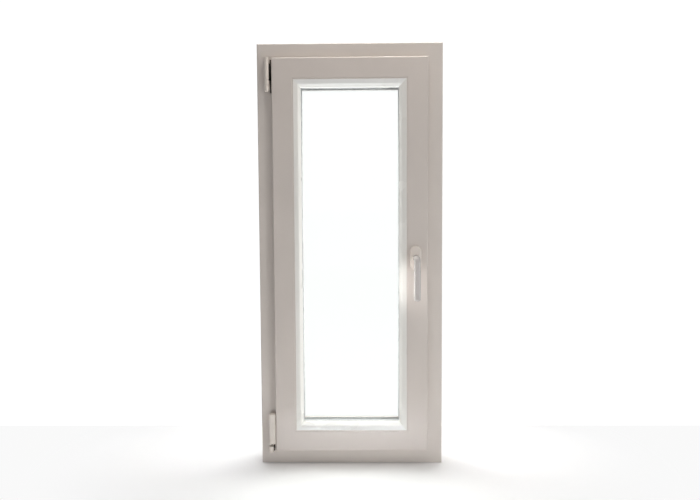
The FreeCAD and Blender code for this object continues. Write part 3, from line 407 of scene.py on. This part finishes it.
def material_for(node):
    """The finish of a CAD node, or the painted light or shade set for it; the extruded lengths take the
    grain of their own direction.
    """
    slot = SLOT_OF[node]
    if node in PAINTED_LIGHT_OF_NODE:
        return MATERIALS[PAINTED_LIGHT_OF_NODE[node]]
    if slot not in PLASTIC_OF:
        return MATERIALS[slot]
    low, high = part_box(node)
    direction = "x" if high.x - low.x > high.z - low.z else "z"
    return MATERIALS[PLASTIC_OF[slot] + "_" + direction]


for name, node in NODES.items():
    node.data.materials.clear()
    node.data.materials.append(material_for(name))


# ---- the lever ----

def path_rows(*values):
    """A table of path rows, with single values repeated down it."""
    return np.stack(np.broadcast_arrays(*values), axis=-1)


def lever():
    """The lever as one skin along a path: out from the rosette, round a quarter turn and down.

    Across the path each row is a superellipse that goes from a circle at the neck to a flat-sided
    grip; at the tip the rows shrink along a quarter ellipse, which rounds the end. A row of the table
    holds its middle's Y and Z, its half width and half thickness, its power, and the Y and Z parts of
    the direction that the thickness is measured in.
    """
    grip_y = LEVER_LOW.y + GRIP_HALF_THICK
    elbow_z = SPINDLE.z - ELBOW_BEND
    elbow_y = grip_y + ELBOW_BEND
    tip_z = LEVER_LOW.z
    neck_y = np.linspace(ROSETTE_LOW.y + NECK_FROM_ROSETTE, elbow_y, 14)
    neck = path_rows(neck_y, SPINDLE.z, NECK_RADIUS, NECK_RADIUS, 2.0, 0.0, 1.0)

    turn = np.linspace(0, QUARTER_TURN, 22)[1:]
    share = turn / QUARTER_TURN
    ease = share * share * (3 - 2 * share)
    elbow = path_rows(elbow_y - ELBOW_BEND * np.sin(turn), elbow_z + ELBOW_BEND * np.cos(turn),
                      NECK_RADIUS + (GRIP_HALF_WIDTH * GRIP_START_SHARE - NECK_RADIUS) * ease,
                      NECK_RADIUS + (GRIP_HALF_THICK - NECK_RADIUS) * ease,
                      2.0 + (GRIP_POWER - 2.0) * ease, -np.sin(turn), np.cos(turn))

    z = np.linspace(elbow_z, tip_z + TIP_ROUND, 40)[1:]
    share = (elbow_z - z) / (elbow_z - tip_z)
    widening = GRIP_START_SHARE + (1 - GRIP_START_SHARE) * np.sin(QUARTER_TURN * share)
    grip = path_rows(grip_y, z, GRIP_HALF_WIDTH * widening,
                     GRIP_HALF_THICK * (1.0 - GRIP_WAIST_SHARE * np.sin(math.pi * share)),
                     GRIP_POWER + (TIP_POWER - GRIP_POWER) * share, -1.0, 0.0)

    turn = np.linspace(0, QUARTER_TURN, 14)[1:]
    shrink = np.maximum(np.cos(turn), TIP_LEAST_COSINE) ** TIP_SHRINK_POWER
    tip = path_rows(grip_y, tip_z + TIP_ROUND - TIP_ROUND * np.sin(turn), GRIP_HALF_WIDTH * shrink,
                    GRIP_HALF_THICK * shrink, TIP_POWER - TIP_POWER_DROP * turn, -1.0, 0.0)

    table = np.concatenate([neck, elbow, grip, tip])
    middle_y, middle_z, half_width, half_thick, power, way_y, way_z = (column(part) for part in table.T)
    across, deep = superellipses(LEVER_COLUMNS, half_width, half_thick, power)
    points = np.stack([SPINDLE.x + across, middle_y + deep * way_y, middle_z + deep * way_z], axis=-1)
    piece = surface("lever", points, "handle", MATERIALS["handle_paint"])
    facing_out(piece)
    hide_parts("handle_lever")


def rosette():
    """The oval cover under the lever.

    Its rows go up the drafted side wall, round a quarter circle and over a shallow dome, while the
    outline slowly turns from an oval to the circle of the neck's hole; a last row drops into the hole.
    The oval is a circle whose upper half is lifted and whose lower half is dropped.
    """
    half_width = (ROSETTE_HIGH.x - ROSETTE_LOW.x) / 2
    half_height = (ROSETTE_HIGH.z - ROSETTE_LOW.z) / 2
    thick = ROSETTE_HIGH.y - ROSETTE_LOW.y
    wall_top = thick - ROSETTE_RIM - ROSETTE_DOME
    wall = np.linspace(0, 1, 6)
    turn = np.linspace(0, QUARTER_TURN, 9)[1:]
    dome = np.linspace(0, 1, 14)[1:]
    inset = np.concatenate([
        ROSETTE_DRAFT * wall,
        ROSETTE_DRAFT + ROSETTE_RIM * (1 - np.cos(turn)),
        ROSETTE_DRAFT + ROSETTE_RIM + ROSETTE_DOME_INSET * dome,
        [0.0],
    ])
    height = np.concatenate([
        ROSETTE_OFF_BASE + (wall_top - ROSETTE_OFF_BASE) * wall,
        wall_top + ROSETTE_RIM * np.sin(turn),
        thick - ROSETTE_DOME + ROSETTE_DOME * np.sin(dome * QUARTER_TURN),
        [thick - ROSETTE_LIP],
    ])
    roundness = column(np.concatenate([0 * wall, 0 * turn, dome, [1.0]]))
    cosine, sine = round_outline(ROSETTE_COLUMNS)
    radius = half_width - column(inset)
    lift = np.clip(sine * ROSETTE_LIFT_STEEPNESS, -1, 1) * (half_height - half_width)
    x = radius * cosine * (1 - roundness) + ROSETTE_HOLE * cosine * roundness
    z = (radius * sine + lift) * (1 - roundness) + ROSETTE_HOLE * sine * roundness
    y = ROSETTE_HIGH.y - column(height) + 0 * x
    points = np.stack([SPINDLE.x + x, y, SPINDLE.z + z], axis=-1)
    piece = surface("rosette_cover", points, "sash", MATERIALS["cover_plastic"],
                    closed_ends=False)
    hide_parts("handle_rosette")


# ---- hinges ----

def hinge_covers():
    """Turned covers on the two hinges, with small quarter-round rims and a domed pin cap."""
    plastic = MATERIALS["cover_plastic"]
    low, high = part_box("stay_arm_cover")
    sleeve = rounded_ends(low.z, high.z, KNUCKLE_RADIUS, KNUCKLE_RIM)
    arm = turned("stay_arm_sleeve", sleeve, PIN, "stay", plastic)
    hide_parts("stay_arm_cover")

    low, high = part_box("top_hinge_pin_cap")
    turn = np.linspace(PIN_CAP_FIRST_TURN, QUARTER_TURN, 10)
    dome = np.stack([KNUCKLE_RADIUS * np.sin(turn), low.z + PIN_CAP_DOME * (1 - np.cos(turn))], -1)
    rim = PIN_CAP_CHAMFER + [KNUCKLE_RADIUS, high.z]
    cap = turned("pin_cap", np.concatenate([dome, rim]), PIN, "frame", plastic)
    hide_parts("top_hinge_pin_cap")

    low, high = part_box("corner_pivot_cap")
    barrel = rounded_ends(low.z, high.z, (high.x - low.x) / 2, PIVOT_RIM)
    pivot = turned("pivot_cap", barrel, (low + high) / 2, "pivot", plastic)
    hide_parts("corner_pivot_cap")


def strap_cover():
    """The long cover on the bottom hinge.

    Every level is a superellipse; the levels shrink at both ends along a quarter circle, and the
    lowest third narrows a little on its left side.
    """
    low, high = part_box("corner_strap_cover")
    middle = (low + high) / 2
    half_x = (high.x - low.x) / 2
    half_y = (high.y - low.y) / 2
    turn = np.linspace(0, QUARTER_TURN, 8)
    straight = np.linspace(low.z + STRAP_END, high.z - STRAP_END, 24)[1:-1]
    z = np.concatenate([low.z + STRAP_END * (1 - np.cos(turn)), straight,
                        high.z - STRAP_END * (1 - np.sin(turn))])
    inset = STRAP_END * (1 - np.concatenate([np.sin(turn), np.ones(len(straight)), np.cos(turn)]))
    share = (z - low.z) / (high.z - low.z)
    narrow = 1.0 - STRAP_NARROWS_BY * np.maximum(0.0, 1 - share / STRAP_NARROWS_BELOW)
    across, deep = superellipses(STRAP_COLUMNS, half_x * narrow - inset, half_y - inset, STRAP_POWER)
    x = middle.x + half_x * (1 - column(narrow)) + across
    points = np.stack([x, middle.y + deep, column(z) + 0 * x], axis=-1)
    piece = surface("strap_sleeve", points, "sash", MATERIALS["cover_plastic"])
    facing_out(piece)
    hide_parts("corner_strap_cover")


lever()
rosette()
hinge_covers()
strap_cover()


# ---- studio ----

FLOOR_HALF_WIDTH = 6.0
FLOOR_FRONT = -6.0
FLOOR_BACK = 0.26
FLOOR_WHITE = (0.97, 0.97, 0.972, 1)
SHADOWED_TO = 0.24
WHITE_FROM = 0.7
FAR_WHITE = 0.95
ROOM_LIGHT = 0.21
SEEN_WHITE = 1.05

# name, place and aim, width, height (all in metres), power in watts, colour, spread in radians
LAMPS = [
    ("right_low", (1.3, -1.3, 0.4), (0, 0, 0.5), 0.3, 0.3, 5.3, (0.94, 0.98, 1.0), math.pi),
    ("front", (0, -2.3, 1.1), (0, 0, 0.5), 1.2, 0.8, 1.0, (0.8, 0.9, 1.0), math.pi),
    ("top", (0.2, -0.15, 2.0), (0, -0.15, 0), 1.6, 0.8, 13.0, (1.0, 0.92, 0.83), math.pi),
    ("top_wide", (0.0, -0.15, 2.3), (0, -0.15, 0), 3.2, 0.5, 6.0, (0.8, 0.9, 1.0), math.pi),
    ("back_wall", (0, 1.1, 0.65), (0, 0, 0.8), 3.2, 3.6, 26.0, (1.0, 1.0, 1.0), math.pi),
    ("back_high", (0, 1.0, 1.9), (0, -0.2, 0.2), 2.4, 0.6, 8.0, (1.0, 1.0, 1.0), math.pi),
    ("outdoor_low", (0, 0.5, 0.05), (0, 0.0, 1.1), 0.8, 0.3, 1.5, (1.0, 1.0, 1.0), math.pi),
    ("opening", (0, 0.02, 0.56), (0, -1, 0.56), 0.2, 0.7, 3.0, (1.0, 1.0, 1.0), math.pi),
    ("floor_wash", (0.0, -0.62, 1.3), (0, -0.62, 0), 2.2, 0.2, 1.15, (1.0, 1.0, 1.0), 0.7),
    ("floor_sides", (0, 0.1, 2.4), (0, 0.1, 0), 2.4, 0.1, 1.15, (1.0, 1.0, 1.0), 0.35),
    ("rail_wash", (0, -0.75, 0.105), (0, -0.05, 0.1), 0.4, 0.02, 0.022, (0.85, 0.95, 1.0), 0.26),
    ("pane_glow", (-0.02, -0.125, 0.5), (0.17, -0.085, 0.5), 0.02, 0.1, 0.034, (1.0, 0.99, 0.97), 0.8),
]


def seen_directly(tree):
    """1 for what the camera sees, straight or through clear glass; otherwise 0."""
    path = tree.nodes.new("ShaderNodeLightPath")
    seen = tree.nodes.new("ShaderNodeMath")
    seen.operation = "MAXIMUM"
    tree.links.new(path.outputs["Is Camera Ray"], seen.inputs[0])
    tree.links.new(path.outputs["Is Transmission Ray"], seen.inputs[1])
    return seen.outputs["Value"]


def studio_floor():
    """White floor that ends behind the window.

    It takes the window's shadow near it and turns slowly to the white of the surroundings further
    out, as far as the camera and clear glass see it.
    """
    white, tree, shader = new_material("studio_floor")
    settings(shader, Base_Color=FLOOR_WHITE, Roughness=0.7)
    distance = tree.nodes.new("ShaderNodeVectorMath")
    distance.operation = "LENGTH"
    tree.links.new(coordinates(tree, (0.8, 1, 1)), distance.inputs[0])
    reach = map_range(tree, distance.outputs["Value"], SHADOWED_TO, WHITE_FROM, 0.0, 1.0)
    reach.interpolation_type = "SMOOTHSTEP"
    share = tree.nodes.new("ShaderNodeMath")
    share.operation = "MULTIPLY"
    tree.links.new(reach.outputs["Result"], share.inputs[0])
    tree.links.new(seen_directly(tree), share.inputs[1])
    far = settings(tree.nodes.new("ShaderNodeEmission"), Strength=FAR_WHITE)
    either_shader(tree, share.outputs["Value"], shader.outputs["BSDF"], far.outputs["Emission"])
    mesh = bpy.data.meshes.new("floor")
    corners = [(-FLOOR_HALF_WIDTH, FLOOR_FRONT, 0), (FLOOR_HALF_WIDTH, FLOOR_FRONT, 0),
               (FLOOR_HALF_WIDTH, FLOOR_BACK, 0), (-FLOOR_HALF_WIDTH, FLOOR_BACK, 0)]
    mesh.from_pydata(corners, [], [(0, 1, 2, 3)])
    mesh.materials.append(white)
    floor = bpy.data.objects.new("floor", mesh)
    bpy.context.scene.collection.objects.link(floor)


def surroundings():
    """A plain white world: dim for what it lights, full white where it is seen."""
    world = bpy.data.worlds.new("studio")
    bpy.context.scene.world = world
    world.use_nodes = True
    tree = world.node_tree
    background = settings(tree.nodes["Background"], Color=(1, 1, 1, 1))
    strength = map_range(tree, seen_directly(tree), 0.0, 1.0, ROOM_LIGHT, SEEN_WHITE)
    tree.links.new(strength.outputs["Result"], background.inputs["Strength"])


def lamp(name, place, aim, width, height, power, colour, spread):
    """A soft rectangular lamp that looks from its place to its aim and isn't seen itself."""
    data = bpy.data.lights.new(name, "AREA")
    data.shape = "RECTANGLE"
    data.size = width
    data.size_y = height
    data.energy = power
    data.color = colour
    data.spread = spread
    item = bpy.data.objects.new(name, data)
    way = Vector(aim) - Vector(place)
    item.matrix_world = Matrix.Translation(place) @ way.to_track_quat("-Z", "Y").to_matrix().to_4x4()
    item.visible_camera = False
    item.visible_transmission = False
    bpy.context.scene.collection.objects.link(item)


# ---- camera ----

CAMERA_YAW, CAMERA_PITCH, CAMERA_ROLL = (math.radians(angle) for angle in (-0.883, 3.362, -0.323))
CAMERA_X = 0.0234
CAMERA_FROM_FRAME = 1.6372
CAMERA_HEIGHT = 0.6905
SENSOR_WIDTH = 36.0
LENS_PER_WIDTH = 6 / 7


def camera():
    """Looks a little down at the window, from just right of its middle and at three fifths of its height."""
    level_part = math.cos(CAMERA_PITCH)
    forward = Vector((math.sin(CAMERA_YAW) * level_part, math.cos(CAMERA_YAW) * level_part,
                      -math.sin(CAMERA_PITCH)))
    level = Vector((math.cos(CAMERA_YAW), -math.sin(CAMERA_YAW), 0))
    up = level.cross(forward)
    right = level * math.cos(CAMERA_ROLL) + up * math.sin(CAMERA_ROLL)
    upright = up * math.cos(CAMERA_ROLL) - level * math.sin(CAMERA_ROLL)
    turn = Matrix((right, upright, -forward)).transposed().to_4x4()
    data = bpy.data.cameras.new("camera")
    data.sensor_width = SENSOR_WIDTH
    data.lens = SENSOR_WIDTH * LENS_PER_WIDTH
    data.clip_start = 0.01
    item = bpy.data.objects.new("camera", data)
    place = (CAMERA_X, FRAME_FACE_Y - CAMERA_FROM_FRAME, CAMERA_HEIGHT)
    item.matrix_world = Matrix.Translation(place) @ turn
    bpy.context.scene.collection.objects.link(item)
    bpy.context.scene.camera = item


studio_floor()
surroundings()
for values in LAMPS:
    lamp(*values)
camera()
bpy.context.scene.view_settings.view_transform = "Standard"
